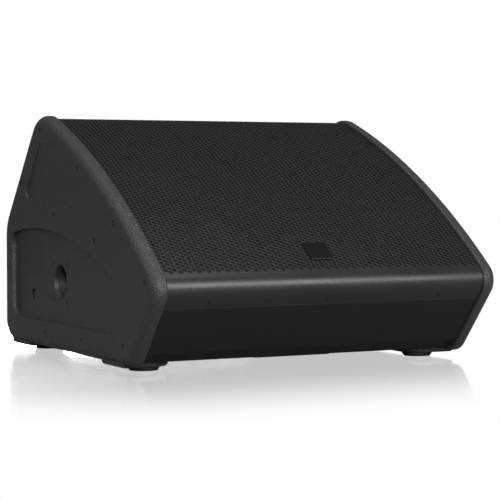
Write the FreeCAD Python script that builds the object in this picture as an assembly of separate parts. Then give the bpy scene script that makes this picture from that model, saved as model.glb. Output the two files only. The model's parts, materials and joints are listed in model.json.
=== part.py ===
"""A powered stage monitor wedge: timber carcass, two moulded cheeks, wrapped steel grille,
coaxial driver behind it and an amplifier tray in the back.  Millimetres, +Z up, +X to the right.

The front nose faces -Y.  Along Y, lengths called "back" are measured from the nose plane.
The origin is on the floor, in the middle of the box that holds the cabinet.
"""
import FreeCAD, Part
import math
import os
from FreeCAD import Vector

os.makedirs("parts", exist_ok=True)

# ---- driving dimensions: the side outline, as sharp corners (back, up) with their radii ----
WIDTH = 600.0
DEPTH = 634.5
NOSE = (-13.5, 134.4)
NOSE_R = 32.9
APEX = (474.4, 405.7)
APEX_R = 58.0
SHOULDER = (DEPTH, 214.0)
SHOULDER_R = 64.4
HEEL = (DEPTH, 11.4)
HEEL_R = 34.8
TOE = (91.1, 11.4)
TOE_R = 27.3
SLOPE_BULGE = 29.0

# ---- walls and fits ----
CHEEK_T = 24.0
CHEEK_EDGE_R = 14.0
CHEEK_INNER_R = 3.0
RIM_PROUD = 4.4
GRILLE_T = 1.5
PLY = 15.0
BAFFLE_PLY = 18.0
BAFFLE_SET_BACK = 12.0
BAFFLE_HALF = 236.0
FOAM_T = 4.0
GAP = 0.3
INNER_X = WIDTH / 2 - CHEEK_T
BOARD_X = INNER_X - PLY
FRAME_INSET = RIM_PROUD + GRILLE_T + FOAM_T + 0.8

# ---- cheek features (back, up) ----
CHEEK_SCREWS = [(31, 141), (148, 226), (293, 309), (458, 372), (545, 284), (608, 200),
                (610, 41), (440, 37), (277, 37), (111, 41), (224, 197.5), (399, 233.5)]
ARC_CENTRE = (469.7, -576.0)
MAIN_ARC_R = 785.2
BAND_W = 48.6
RECESS_FRONT = 113.0
RECESS_BACK = 595.0
RECESS_BOTTOM = 56.0
RECESS_DEEP = 8.0
RECESS_CORNER_R = 22.0
RECESS_LEVEL_AT = RECESS_FRONT - 26.0
FIELD_DEEP = 3.4
FIELD_REAR = 540.5
FIELD_REAR_HIGH = (460.5, 351.0)
FIELD_TOP_FRONT = (370.0, 350.0)
FIELD_FRONT = 240.0
FIELD_CORNER_R = 6.0
FIELD_LOW_R = 12.0
FIELD_FADE = ((382.0, 347.0), (492.0, 226.0))
WALL_LEAN = 0.2
WALL_FOOT = 2.0
SKIN_X = 11.0
CAVITY_INSET = 9.0
RIB_T = 3.0
RIB_PITCH = 80.0
BOSS_R = 8.0
SCREW_R = 2.0
SCREW_HEAD_R = 4.2
SCREW_SINK = 2.6

# ---- feet ----
FOOT_X = 247.5
FOOT_BACKS = (154.0, 556.0)
FOOT_R = 24.6
FOOT_H = 7.2
FOOT_SCREW_R = 2.6
LOBE_R = 37.0
LOBE_TAIL = 52.0
LOBE_OUT_X = WIDTH / 2 - 3.0

# ---- pole socket, label, handle ----
POLE_AT = (378.0, 124.0)
POLE_RISE = 8.3
POLE_R = 18.25
POLE_WALL = (-268.0, -180.0)
POLE_MOUTH_R = 27.0
POLE_CUP_WALL = 3.0
POLE_POCKET_DEEP = 7.0
POLE_FLANGE_R = 46.0
POLE_BOLT_HALF = 30.5
LABEL_AT = (506.5, 160.0)
LABEL_SIZE = (97.0, 53.0)
FIXING_AT = (507.0, 97.0)
FIXING_R = 9.5
FIXING_SINK = 15.0
FIXING_SHANK_R = 5.0
HANDLE_AT = (370.0, 128.0)
HANDLE_SIZE = (190.0, 96.0)
HANDLE_DEEP = 52.0
HANDLE_CORNER_R = 14.0

# ---- grille edges ----
SEAM_UP = 99.7
GRILLE_TAIL = 70.0
BADGE = 40.0
BADGE_BACK = 50.0

# ---- coaxial driver: radii, and heights from the baffle's outer face ----
CUTOUT_R = 177.0
FRAME_R = 193.0
BOLT_CIRCLE_R = 185.0
COIL_R = 39.5
FLANGE_T = 7.0
SEAT_Z = -92.0
PORT_X = 205.0
PORT_Y = 188.0
PORT_R = 32.0
PORT_LONG = 105.0

# ---- amplifier tray, and its controls as (x, up) ----
TRAY_X = 176.0
TRAY_LOW = 56.0
TRAY_HIGH = 182.0
TRAY_DEEP = 19.0
TRAY_WALL = 2.0
TRAY_FACE = DEPTH - RIM_PROUD
TRAY_FLOOR = TRAY_FACE - TRAY_DEEP
SINK_X = (-168.0, -8.0)
FIN_T = 2.4
FIN_COUNT = 17
AMP_COVER_BACK = 530.0
KNOB_AT = (118.0, 152.0)
KNOB_R = 9.0
SPINDLE_R = 3.0
BUTTON_AT = (150.0, 152.0)
BUTTON_R = 4.0
SWITCH_AT = (36.0, 84.0)
ROCKER_PIVOT = TRAY_FLOOR + 1.0
ROCKER_REST_DEG = 8.0
INLET_AT = (92.0, 84.0)
INPUT_AT = (32.0, 148.0)
LATCH_AT = (32.0, 160.6)
LINK_AT = (72.0, 148.0)
BARREL_R = 11.6
LAMP_AT = (96.0, 117.0)


def at(back, up, x=0.0):
    """A point from its distance behind the nose plane, its height and its x."""
    return Vector(x, back - DEPTH / 2, up)


def box(x0, x1, back0, back1, z0, z1):
    return Part.makeBox(x1 - x0, back1 - back0, z1 - z0, at(back0, z0, x0))


def rod(centre, direction, radius, length):
    return Part.makeCylinder(radius, length, centre, direction)


def prism(face, x0, x1):
    """Extrude a face lying at x = 0 along X, from x0 to x1."""
    moved = face.copy()
    moved.translate(Vector(x0, 0, 0))
    return moved.extrude(Vector(x1 - x0, 0, 0))


def save(name, shapes):
    """Write one node; a list of shapes becomes a group of separate solids."""
    group = shapes if isinstance(shapes, list) else [shapes]
    solids = [solid for shape in group for solid in shape.removeSplitter().Solids]
    whole = solids[0] if len(solids) == 1 else Part.makeCompound(solids)
    whole.exportStep("parts/%s.step" % name)
    return whole


def mirrored(shape):
    return shape.mirror(Vector(0, 0, 0), Vector(1, 0, 0))


def side_prism(points, x0, x1):
    """A prism along X over a polygon of points in the side plane."""
    return prism(Part.Face(Part.makePolygon(points + points[:1])), x0, x1)


def circle_points(radius, count, start=0.0):
    angles = [math.radians(start + 360.0 * k / count) for k in range(count)]
    return [Vector(radius * math.cos(a), radius * math.sin(a), 0) for a in angles]


def turned(points):
    """A closed (radius, height) outline turned about +Z."""
    wire = Part.makePolygon([Vector(r, 0, z) for r, z in points + points[:1]])
    return Part.Face(wire).revolve(Vector(0, 0, 0), Vector(0, 0, 1), 360)


# ---------------------------------------------------------------- side outline
def slope_frame():
    """Direction up the slope's chord, its outward normal, and the bulged arc's centre and radius."""
    low, high = at(*NOSE), at(*APEX)
    chord = high - low
    along = Vector(chord).normalize()
    out = Vector(0, -along.z, along.y)
    radius = (chord.Length ** 2 / 4 + SLOPE_BULGE ** 2) / (2 * SLOPE_BULGE)
    centre = (low + high) * 0.5 + out * (SLOPE_BULGE - radius)
    return along, out, centre, radius


ALONG, OUT, ARC_MID, ARC_R = slope_frame()
SLOPE_DEG = math.degrees(math.atan2(ALONG.z, ALONG.y))
UNDERCUT = (at(*NOSE) - at(*TOE)).normalize()
BACK_DOWN = (at(*SHOULDER) - at(*APEX)).normalize()


def sharp_outline():
    low, high = at(*NOSE), at(*APEX)
    crown = ARC_MID + OUT * ARC_R
    edges = [Part.Arc(low, crown, high).toShape()]
    corners = [high, at(*SHOULDER), at(*HEEL), at(*TOE), low]
    for start, end in zip(corners, corners[1:]):
        edges.append(Part.makeLine(start, end))
    return Part.Face(Part.Wire(edges))


def rounded_outline():
    """The outline with its five corners rounded, as a face at x = 0."""
    block = sharp_outline().extrude(Vector(10, 0, 0))
    rounds = [(NOSE, NOSE_R), (APEX, APEX_R), (SHOULDER, SHOULDER_R), (HEEL, HEEL_R), (TOE, TOE_R)]
    for corner, radius in rounds:
        place = at(*corner, 5)
        edge = min(block.Edges, key=lambda e: (e.CenterOfMass - place).Length)
        block = block.makeFillet(radius, [edge])
    ends = [face for face in block.Faces if abs(face.CenterOfMass.x) < 1e-6]
    return Part.Face(ends[0].OuterWire)


OUTLINE = rounded_outline()


def outline(inset):
    if inset == 0:
        return OUTLINE
    return Part.Face(OUTLINE.OuterWire.makeOffset2D(-inset))


def half_space(point, normal):
    """A large block on the side of the plane that the normal points to."""
    size = 2000.0
    block = Part.makeBox(size, size, size, Vector(-size / 2, -size / 2, 0))
    turn = FreeCAD.Rotation(Vector(0, 0, 1), normal)
    block.Placement = FreeCAD.Placement(point, turn).multiply(block.Placement)
    return block


def seam_plane():
    """The grille's lower edge: the point where it meets the outline."""
    rise = (SEAM_UP - TOE[1]) / UNDERCUT.z
    return at(*TOE) + UNDERCUT * rise


SEAM = seam_plane()
TAIL = at(*APEX) + BACK_DOWN * GRILLE_TAIL
FRONT_IN = Vector(0, UNDERCUT.z, -UNDERCUT.y)
BACK_IN = Vector(0, BACK_DOWN.z, -BACK_DOWN.y)
ABOVE_SEAM = half_space(SEAM, UNDERCUT)
BELOW_SEAM = half_space(SEAM, UNDERCUT * -1)
ABOVE_TAIL = half_space(TAIL, BACK_DOWN * -1)
BELOW_TAIL = half_space(TAIL, BACK_DOWN)
BEVEL_KNEE = at(80.0, 31.5)
BEVEL_FOOT = at(106.0, 15.8)
SEAM_BEVEL = 1.4
BAFFLE_MID = (at(*NOSE) + at(*APEX)) * 0.5 - OUT * BAFFLE_SET_BACK


def on_baffle(shape):
    """Move a shape built about +Z to the middle of the baffle's outer face."""
    shape = shape.copy()
    shape.rotate(Vector(0, 0, 0), Vector(1, 0, 0), SLOPE_DEG)
    shape.translate(BAFFLE_MID)
    return shape


# ---------------------------------------------------------------- carcass
def shell_ring():
    outer = prism(outline(RIM_PROUD), -INNER_X, INNER_X)
    inner = prism(outline(RIM_PROUD + PLY), -INNER_X - 1, INNER_X + 1)
    return outer.cut(inner)


def foot_bevel():
    """The half-space taken off by the broad bevel along the foot of the undercut panel."""
    slant = (BEVEL_FOOT - BEVEL_KNEE).normalize()
    return half_space(BEVEL_KNEE, Vector(0, slant.z, -slant.y))


def front_panel(ring):
    """The undercut panel, with the broad bevel along its foot and a small bevel at the seam."""
    panel = ring.common(BELOW_SEAM).common(box(-400, 400, -100, 110, 0, 200)).cut(foot_bevel())
    lip = SEAM + FRONT_IN * RIM_PROUD - UNDERCUT * SEAM_BEVEL
    return panel.cut(half_space(lip, (UNDERCUT - FRONT_IN).normalize()))


def bottom_panel(ring):
    return ring.common(box(-400, 400, 110, 600, 0, 40))


def back_panel(ring):
    panel = ring.common(box(-400, 400, 600, 700, 0, 190))
    return panel.cut(box(-TRAY_X - 4, TRAY_X + 4, 560, 700, TRAY_LOW - 4, TRAY_HIGH + 4))


def upper_back_panel(ring):
    return ring.common(BELOW_TAIL).common(box(-400, 400, 480, 700, 190, 400))


def rail(keep, side, depth):
    """A shaped timber rail under the grille, outside one end of the baffle."""
    block = prism(outline(FRAME_INSET), -BOARD_X, BOARD_X)
    block = block.cut(prism(outline(FRAME_INSET + depth), -BOARD_X - 1, BOARD_X + 1))
    edge = BAFFLE_MID + ALONG * (side * BAFFLE_HALF)
    return block.common(keep).common(half_space(edge, ALONG * side))


def baffle_board():
    board = Part.makeBox(2 * BOARD_X, 2 * BAFFLE_HALF, BAFFLE_PLY,
                         Vector(-BOARD_X, -BAFFLE_HALF, -BAFFLE_PLY))
    board = board.cut(rod(Vector(0, 0, -50), Vector(0, 0, 1), CUTOUT_R, 100))
    for x in (-PORT_X, PORT_X):
        board = board.cut(rod(Vector(x, PORT_Y, -50), Vector(0, 0, 1), PORT_R + 3, 100))
    for bolt in circle_points(BOLT_CIRCLE_R, 8, 22.5):
        board = board.cut(rod(bolt - Vector(0, 0, 30), Vector(0, 0, 1), 2.1, 60))
    return on_baffle(board)


def end_board(panels):
    """The timber side under the left cheek, standing inside the wrapped panels."""
    board = prism(outline(FRAME_INSET), -INNER_X, -BOARD_X).cut(foot_bevel())
    for panel in panels:
        board = board.cut(panel)
    for back, up in CHEEK_SCREWS:
        board = board.cut(rod(at(back, up, -INNER_X), Vector(1, 0, 0), SCREW_R + 0.1, 13))
    return board


# ---------------------------------------------------------------- cheeks
def arc_up(radius, back):
    """The height of one of the cheek's two sweeping arcs at a distance behind the nose."""
    return ARC_CENTRE[1] + math.sqrt(radius ** 2 - (back - ARC_CENTRE[0]) ** 2)


def sweeping_arc(radius, back0, back1):
    backs = (back0, (back0 + back1) / 2, back1)
    return Part.Arc(*[at(back, arc_up(radius, back)) for back in backs]).toShape()


def round_corners(face, radius, near=None):
    """Round the outline's corners: all of them, or only the one nearest to a point."""
    block = face.extrude(Vector(10, 0, 0))
    edges = [e for e in block.Edges if abs(e.tangentAt(e.FirstParameter).x) > 0.99]
    if near is not None:
        edges = [min(edges, key=lambda e: (e.CenterOfMass - near).Length)]
    block = block.makeFillet(radius, edges)
    ends = [f for f in block.Faces if abs(f.CenterOfMass.x) < 1e-6]
    return Part.Face(ends[0].OuterWire)


def main_recess():
    """The large recess: flat bottom, straight ends and a top that follows the sweeping arc."""
    front, back, bottom = RECESS_FRONT, RECESS_BACK, RECESS_BOTTOM
    corners = [at(back, arc_up(MAIN_ARC_R, back)), at(back, bottom), at(front, bottom),
               at(front, arc_up(MAIN_ARC_R, front))]
    edges = [sweeping_arc(MAIN_ARC_R, front, back)]
    edges += [Part.makeLine(start, end) for start, end in zip(corners, corners[1:])]
    return round_corners(Part.Face(Part.Wire(edges)), RECESS_CORNER_R)


def upper_field():
    """The shallow field above the raised band, with a leaning rear edge behind the slope."""
    radius = MAIN_ARC_R + BAND_W
    low = at(FIELD_REAR, arc_up(radius, FIELD_REAR))
    high = at(*FIELD_REAR_HIGH)
    top_front = at(*FIELD_TOP_FRONT)
    front = at(FIELD_FRONT, arc_up(radius, FIELD_FRONT))
    edges = [sweeping_arc(radius, FIELD_REAR, FIELD_FRONT), Part.makeLine(front, top_front),
             Part.makeLine(top_front, high), Part.makeLine(high, low)]
    face = Part.Face(Part.Wire(edges))
    face = round_corners(face, FIELD_LOW_R, low)
    return round_corners(face, FIELD_CORNER_R, high)


def faded_cut(face, deep, level_at, deep_at):
    """A pocket in the left cheek's face whose flat floor leans from level with it to its full depth."""
    rings = []
    for depth, grow in ((-1.0, WALL_LEAN), (deep - WALL_FOOT, -WALL_LEAN * deep), (deep + 1.0, -deep)):
        ring = Part.Wire(face.OuterWire.makeOffset2D(grow).Edges)
        ring.translate(Vector(-WIDTH / 2 + depth, 0, 0))
        rings.append(ring)
    pocket = Part.makeLoft(rings, True, True)
    level = at(*level_at, -WIDTH / 2)
    run = (at(*deep_at, -WIDTH / 2 + deep) - level).normalize()
    across = Vector(0, run.z, -run.y)
    normal = run.cross(across).normalize()
    return pocket.common(half_space(level, normal * (-1 if normal.x > 0 else 1)))


def cheek_cavity():
    """The hollow behind the skin, less the ribs and the screw bosses that stay in it."""
    face_x = -WIDTH / 2 + SKIN_X
    hollow = prism(outline(CAVITY_INSET), face_x, -INNER_X + 1)
    ribs = []
    for step in range(1, 8):
        back = step * RIB_PITCH
        ribs.append(box(-400, 0, back - RIB_T / 2, back + RIB_T / 2, 0, 500))
    for step in range(1, 5):
        up = step * RIB_PITCH
        ribs.append(box(-400, 0, -50, 700, up - RIB_T / 2, up + RIB_T / 2))
    for back, up in CHEEK_SCREWS:
        ribs.append(rod(at(back, up, -400), Vector(1, 0, 0), BOSS_R, 200))
    return hollow.cut(ribs)


def lobe(back):
    """The pad under the cheek that reaches in below the cabinet and carries a foot."""
    under = RIM_PROUD + HEEL[1]
    tongue = box(-LOBE_OUT_X, LOBE_R - FOOT_X, back - LOBE_R, back + LOBE_TAIL, FOOT_H, under)
    for edge_x, radius in ((-LOBE_OUT_X, 7.0), (LOBE_R - FOOT_X, LOBE_R - 1.0)):
        corners = [e for e in tongue.Edges if abs(e.tangentAt(0).z) > 0.99
                   and abs(e.CenterOfMass.x - edge_x) < 0.1]
        tongue = tongue.makeFillet(radius, corners)
    low = [e for e in tongue.Edges if abs(e.BoundBox.ZMax - FOOT_H) < 1e-6]
    tongue = tongue.makeFillet(4.0, low)
    hole = rod(at(back, 0, -FOOT_X), Vector(0, 0, 1), FOOT_SCREW_R + 0.2, 40)
    return tongue.cut(hole)


def plain_cheek():
    """The left cheek: rounded blank, fading recesses, ribbed hollow, lobes and screw holes."""
    blank = prism(OUTLINE, -WIDTH / 2, -INNER_X)
    rim = [e for e in blank.Edges if abs(e.BoundBox.XMin + WIDTH / 2) < 1e-6
           and abs(e.BoundBox.XMax + WIDTH / 2) < 1e-6]
    blank = blank.makeFillet(CHEEK_EDGE_R, rim)
    inner = [e for e in blank.Edges if abs(e.BoundBox.XMin + INNER_X) < 1e-6
             and abs(e.BoundBox.XMax + INNER_X) < 1e-6]
    blank = blank.makeFillet(CHEEK_INNER_R, inner)
    level_at, deep_at = (RECESS_LEVEL_AT, 0), (RECESS_BACK, 0)
    blank = blank.cut(faded_cut(main_recess(), RECESS_DEEP, level_at, deep_at))
    blank = blank.cut(faded_cut(upper_field(), FIELD_DEEP, *FIELD_FADE))
    blank = blank.cut(cheek_cavity())
    for back in FOOT_BACKS:
        blank = blank.fuse(lobe(back))
    for back, up in CHEEK_SCREWS:
        blank = blank.cut(rod(at(back, up, -WIDTH / 2 - 1), Vector(1, 0, 0), SCREW_R + 0.2, 60))
        sink = rod(at(back, up, -WIDTH / 2 - 1), Vector(1, 0, 0), SCREW_HEAD_R + 0.3, SCREW_SINK + 1)
        blank = blank.cut(sink)
    return blank


def floor_x(back):
    """The x of the main recess's floor in the left cheek."""
    return -WIDTH / 2 + RECESS_DEEP * (back - RECESS_LEVEL_AT) / (RECESS_BACK - RECESS_LEVEL_AT)


def ring_boss(back, up, radius):
    """Fills the cheek's hollow round an opening, so that what is fitted there has a seat."""
    hollow_x = -WIDTH / 2 + SKIN_X
    return rod(at(back, up, hollow_x - 0.5), Vector(1, 0, 0), radius, -INNER_X - hollow_x + 0.5)


def cheek_left(plain):
    back, up = POLE_AT
    body = plain.fuse(ring_boss(back, up, POLE_FLANGE_R + 6.0))
    body = body.fuse(ring_boss(*FIXING_AT, FIXING_R + 5.0))
    body = body.cut(rod(at(back, up, -310), Vector(1, 0, 0), POLE_MOUTH_R + POLE_CUP_WALL + 0.2, 60))
    body = body.cut(rod(at(*FIXING_AT, -310), Vector(1, 0, 0), FIXING_R, 10 + FIXING_SINK))
    body = body.cut(rod(at(*FIXING_AT, -310), Vector(1, 0, 0), FIXING_SHANK_R + 0.2, 60))
    for bolt in pole_bolts():
        body = body.cut(rod(bolt - Vector(10, 0, 0), Vector(1, 0, 0), SCREW_R + 0.2, 40))
        body = body.cut(rod(bolt - Vector(10, 0, 0), Vector(1, 0, 0), 4.0, 11.5))
    return body


def cheek_screws():
    screws = []
    for back, up in CHEEK_SCREWS:
        start = at(back, up, -WIDTH / 2 + SCREW_SINK - 2.0)
        head = Part.makeCone(SCREW_HEAD_R - 0.8, SCREW_HEAD_R, 0.7, start, Vector(1, 0, 0))
        head = head.fuse(rod(start + Vector(0.7, 0, 0), Vector(1, 0, 0), SCREW_HEAD_R, 1.3))
        shank = rod(start, Vector(1, 0, 0), SCREW_R, 36.0)
        drive = rod(start - Vector(0.5, 0, 0), Vector(1, 0, 0), 1.2, 1.6)
        screws.append(head.fuse(shank).cut(drive))
    return screws


# ---------------------------------------------------------------- pole socket, label, fixing
def pole_bolts():
    back, up = POLE_AT
    half = POLE_BOLT_HALF
    return [at(back + a * half, up + b * half, floor_x(back + a * half))
            for a in (-1, 1) for b in (-1, 1)]


def pole_socket():
    """A moulded cup: a wide shallow mouth, with the straight 35 mm pole bore high in its floor."""
    back, up = POLE_AT
    start = floor_x(back) + 0.4
    inward = Vector(1, 0, 0)
    cup = rod(at(back, up, start), inward, POLE_MOUTH_R + POLE_CUP_WALL, -INNER_X + 5 - start)
    flange = rod(at(back, up, -INNER_X), inward, POLE_FLANGE_R, 5.0)
    sleeve_end = POLE_WALL[1] + 4.0
    sleeve = rod(at(back, up + POLE_RISE, -INNER_X), inward, POLE_R + POLE_CUP_WALL, sleeve_end + INNER_X)
    cup = cup.fuse([flange, sleeve]).removeSplitter()
    mouth = Part.makeCone(POLE_MOUTH_R + 0.4, POLE_MOUTH_R - 2.0, POLE_POCKET_DEEP,
                          at(back, up, start - 0.01), inward)
    ramp = Part.makeCone(POLE_MOUTH_R - 4.0, POLE_R - 1.0, 11.0,
                         at(back, up + 3.0, start + POLE_POCKET_DEEP - 0.2), inward)
    lead_in = rod(at(back, up + POLE_RISE, start + 3.0), inward, POLE_R + 0.4, POLE_WALL[0] - start - 3.0)
    bore = rod(at(back, up + POLE_RISE, POLE_WALL[0]), inward, POLE_R, POLE_WALL[1] - POLE_WALL[0])
    slot = box(start, start + POLE_POCKET_DEEP + 4.0, back - 11.0, back + 5.0, up - 19.0, up - 17.0)
    holes = [rod(bolt, inward, SCREW_R + 0.2, 40) for bolt in pole_bolts()]
    return cup.cut([mouth, ramp, lead_in, bore, slot] + holes)


def pole_socket_screws():
    screws = []
    for bolt in pole_bolts():
        head = rod(bolt + Vector(0.1, 0, 0), Vector(1, 0, 0), 3.7, 1.4)
        shank = rod(bolt + Vector(0.1, 0, 0), Vector(1, 0, 0), SCREW_R, 26.0)
        drive = rod(bolt - Vector(0.5, 0, 0), Vector(1, 0, 0), 1.1, 1.5)
        screws.append(head.fuse(shank).cut(drive))
    return screws


def recess_plate(centre, size, thick, corner):
    """A thin plate lying on the sloping floor of the main recess."""
    back, up = centre
    half_y, half_z = size[0] / 2, size[1] / 2
    plate = Part.makeBox(thick, size[0], size[1], Vector(-thick, -half_y, -half_z))
    edges = [e for e in plate.Edges if abs(e.tangentAt(0).x) > 0.99]
    plate = plate.makeFillet(corner, edges)
    lean = math.degrees(math.atan2(RECESS_DEEP, RECESS_BACK - RECESS_LEVEL_AT))
    plate.rotate(Vector(0, 0, 0), Vector(0, 0, 1), -lean)
    plate.translate(at(back, up, floor_x(back)))
    return plate


def fixing_bolt():
    """A cap screw sunk in the recess's floor."""
    start = at(*FIXING_AT, -WIDTH / 2 + FIXING_SINK)
    head = rod(start - Vector(5.0, 0, 0), Vector(1, 0, 0), 5.6, 5.0)
    shank = rod(start, Vector(1, 0, 0), FIXING_SHANK_R, 32.0)
    drive = rod(start - Vector(5.1, 0, 0), Vector(1, 0, 0), 2.6, 3.1)
    return head.fuse(shank).cut(drive)


# ---------------------------------------------------------------- grille
def wrapped(inset, thick, half_width):
    outer = prism(outline(inset), -half_width, half_width)
    return outer.cut(prism(outline(inset + thick), -half_width - 1, half_width + 1))


def grille_screw_places():
    """Three screws on the lower flange and three on the tail behind the apex."""
    front = SEAM + UNDERCUT * 9.0 + FRONT_IN * RIM_PROUD
    rear = TAIL - BACK_DOWN * 9.0 + BACK_IN * RIM_PROUD
    places = []
    for x in (-200.0, 0.0, 200.0):
        places.append((front + Vector(x, 0, 0), FRONT_IN))
        places.append((rear + Vector(x, 0, 0), BACK_IN))
    return places


def around_grille():
    """Everything on the panels' side of the seam and of the tail."""
    points = [SEAM - FRONT_IN * 30, SEAM + FRONT_IN * 60, at(300, 100), TAIL + BACK_IN * 60,
              TAIL - BACK_IN * 30, at(900, 300), at(900, -100), at(-200, -100)]
    return side_prism(points, -400, 400)


def grille():
    """The bent sheet from the seam, round the nose, up the slope and over the apex."""
    sheet = wrapped(RIM_PROUD, GRILLE_T, INNER_X - GAP).cut(around_grille())
    for place, inward in grille_screw_places():
        sheet = sheet.cut(rod(place - inward * 3, inward, SCREW_R + 0.2, 10))
    return sheet


def grille_foam():
    """A thin foam layer behind all the holes, from above the nose to the tail."""
    layer = wrapped(RIM_PROUD + GRILLE_T + GAP, FOAM_T, INNER_X - 1.0)
    layer = layer.cut(around_grille()).common(half_space(at(6, 150), ALONG))
    return layer.common(half_space(TAIL - BACK_DOWN * 20.0, BACK_DOWN * -1))


def grille_screws():
    screws = []
    for place, inward in grille_screw_places():
        head = rod(place - inward * 1.6, inward, 3.8, 1.6)
        shank = rod(place - inward * 1.0, inward, SCREW_R, 18.0)
        drive = rod(place - inward * 2.0, inward, 1.1, 1.3)
        screws.append(head.fuse(shank).cut(drive))
    return screws


def badge_plate():
    """A square plate standing on the grille low on the slope, tangent to its curve."""
    ring = ARC_R - RIM_PROUD
    dy = at(BADGE_BACK, 0).y - ARC_MID.y
    out = Vector(0, dy, math.sqrt(ring ** 2 - dy ** 2)).normalize()
    tilt = math.degrees(math.atan2(-out.y, out.z))
    plate = Part.makeBox(BADGE, BADGE, 2.2, Vector(-BADGE / 2, -BADGE / 2, 0.02))
    plate = plate.makeFillet(1.5, [e for e in plate.Edges if abs(e.tangentAt(0).z) > 0.99])
    plate = plate.makeChamfer(0.6, [e for e in plate.Edges if e.BoundBox.ZMin > 2])
    plate.rotate(Vector(0, 0, 0), Vector(1, 0, 0), tilt)
    plate.translate(ARC_MID + out * ring)
    return plate


# ---------------------------------------------------------------- feet
def foot(x, back):
    """A rubber puck with a stepped edge and a sunk hole for its screw."""
    puck = turned([(2.9, FOOT_H), (FOOT_R - 1.0, FOOT_H), (FOOT_R, FOOT_H - 1.0), (FOOT_R, 3.4),
                   (FOOT_R - 1.6, 2.8), (FOOT_R - 2.0, 0.8), (FOOT_R - 2.8, 0), (8.0, 0), (8.0, 3.0),
                   (2.9, 3.0)])
    puck.translate(at(back, 0, x))
    return puck


def foot_screws():
    screws = []
    for x in (-FOOT_X, FOOT_X):
        for back in FOOT_BACKS:
            head = rod(at(back, 3.0 - 2.4, x), Vector(0, 0, 1), 5.5, 2.4)
            shank = rod(at(back, 3.0 - 2.4, x), Vector(0, 0, 1), FOOT_SCREW_R, 26.0)
            drive = rod(at(back, 0.5, x), Vector(0, 0, 1), 1.6, 1.6)
            screws.append(head.fuse(shank).cut(drive))
    return screws


def bottom_pad():
    pad = box(-70, 70, 130, 172, 12.0, HEEL[1] + RIM_PROUD)
    pad = pad.makeFillet(9.0, [e for e in pad.Edges if abs(e.tangentAt(0).z) > 0.99])
    return pad.makeFillet(1.2, [e for e in pad.Edges if e.BoundBox.ZMax < 12.1])


# ---------------------------------------------------------------- handle (right cheek)
def handle_opening(grow, x0, x1):
    back, up = HANDLE_AT
    half_y, half_z = HANDLE_SIZE[0] / 2 + grow, HANDLE_SIZE[1] / 2 + grow
    hole = box(x0, x1, back - half_y, back + half_y, up - half_z, up + half_z)
    return hole.makeFillet(HANDLE_CORNER_R + grow, [e for e in hole.Edges if abs(e.tangentAt(0).x) > 0.99])


def handle_mouth_x():
    """The cup's edge, just below the recess's floor where that floor is deepest along the mouth."""
    return -floor_x(HANDLE_AT[0] + HANDLE_SIZE[0] / 2) - 0.4


def handle_dish():
    """The hand cup set in the right cheek, with a flange that screws to the cheek's inner face."""
    mouth = handle_mouth_x()
    dish = handle_opening(3.0, mouth - HANDLE_DEEP, mouth)
    dish = dish.cut(handle_opening(0.0, mouth - HANDLE_DEEP + 3.0, mouth + 5))
    flange = handle_opening(16.0, INNER_X - 4, INNER_X)
    flange = flange.cut(handle_opening(2.0, INNER_X - 60, INNER_X + 1))
    dish = dish.fuse(flange)
    for x, y in handle_bolt_places():
        dish = dish.cut(rod(at(x, y, INNER_X - 10), Vector(1, 0, 0), SCREW_R + 0.2, 20))
    return dish


def handle_bolt_places():
    back, up = HANDLE_AT
    half_y, half_z = HANDLE_SIZE[0] / 2 + 9.0, HANDLE_SIZE[1] / 2 - 14.0
    return [(back + a * half_y, up + b * half_z) for a in (-1, 1) for b in (-1, 1)]


def handle_grip():
    """A rounded bar along the cup, its ends let into the cup's end walls."""
    back, up = HANDLE_AT
    mouth = handle_mouth_x()
    half_y = HANDLE_SIZE[0] / 2
    bar = box(mouth - 22, mouth - 1, back - half_y, back + half_y, up - 5, up + 21)
    return bar.makeFillet(9.0, [e for e in bar.Edges if abs(e.tangentAt(0).y) > 0.99])


def handle_screws():
    screws = []
    for back, up in handle_bolt_places():
        head = rod(at(back, up, INNER_X - 4 - 2), Vector(1, 0, 0), 3.8, 2.0)
        shank = rod(at(back, up, INNER_X - 4 - 2), Vector(1, 0, 0), SCREW_R, 14.0)
        screws.append(head.fuse(shank))
    return screws


# ---------------------------------------------------------------- coaxial driver (about +Z)
def woofer_frame():
    """Cast basket: flange on the baffle, eight open windows and a seat for the magnet."""
    wall = turned([(FRAME_R, 0), (FRAME_R, FLANGE_T), (171, FLANGE_T), (171, 2), (167, -4),
                   (96, -74), (82, -74), (82, -78), (90, -78), (62, SEAT_Z + 6), (44, SEAT_Z + 6),
                   (44, SEAT_Z), (96, SEAT_Z), (102, -78), (173, -6), (175, 0)])
    for place in circle_points(140.0, 8):
        window = Part.makeBox(60, 74, 44, Vector(-40, -37, -62))
        angle = math.degrees(math.atan2(place.y, place.x))
        window.rotate(Vector(0, 0, 0), Vector(0, 0, 1), angle)
        window.translate(Vector(place.x, place.y, 0))
        wall = wall.cut(window)
    for bolt in circle_points(BOLT_CIRCLE_R, 8, 22.5):
        wall = wall.cut(rod(bolt, Vector(0, 0, 1), 2.4, 20))
    return on_baffle(wall)


def woofer_screws():
    screws = []
    for bolt in circle_points(BOLT_CIRCLE_R, 8, 22.5):
        head = rod(bolt + Vector(0, 0, FLANGE_T), Vector(0, 0, 1), 4.6, 3.0)
        shank = rod(bolt + Vector(0, 0, -22), Vector(0, 0, 1), 2.0, 22 + FLANGE_T)
        screws.append(on_baffle(head.fuse(shank)))
    return screws


def magnet_plates():
    top = turned([(41.5, SEAT_Z), (41.5, SEAT_Z - 10), (95, SEAT_Z - 10), (95, SEAT_Z)])
    back = turned([(18, SEAT_Z - 2), (36, SEAT_Z - 2), (36, SEAT_Z - 40), (104, SEAT_Z - 40),
                   (104, SEAT_Z - 50), (18, SEAT_Z - 50)])
    return [on_baffle(top), on_baffle(back)]


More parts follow.
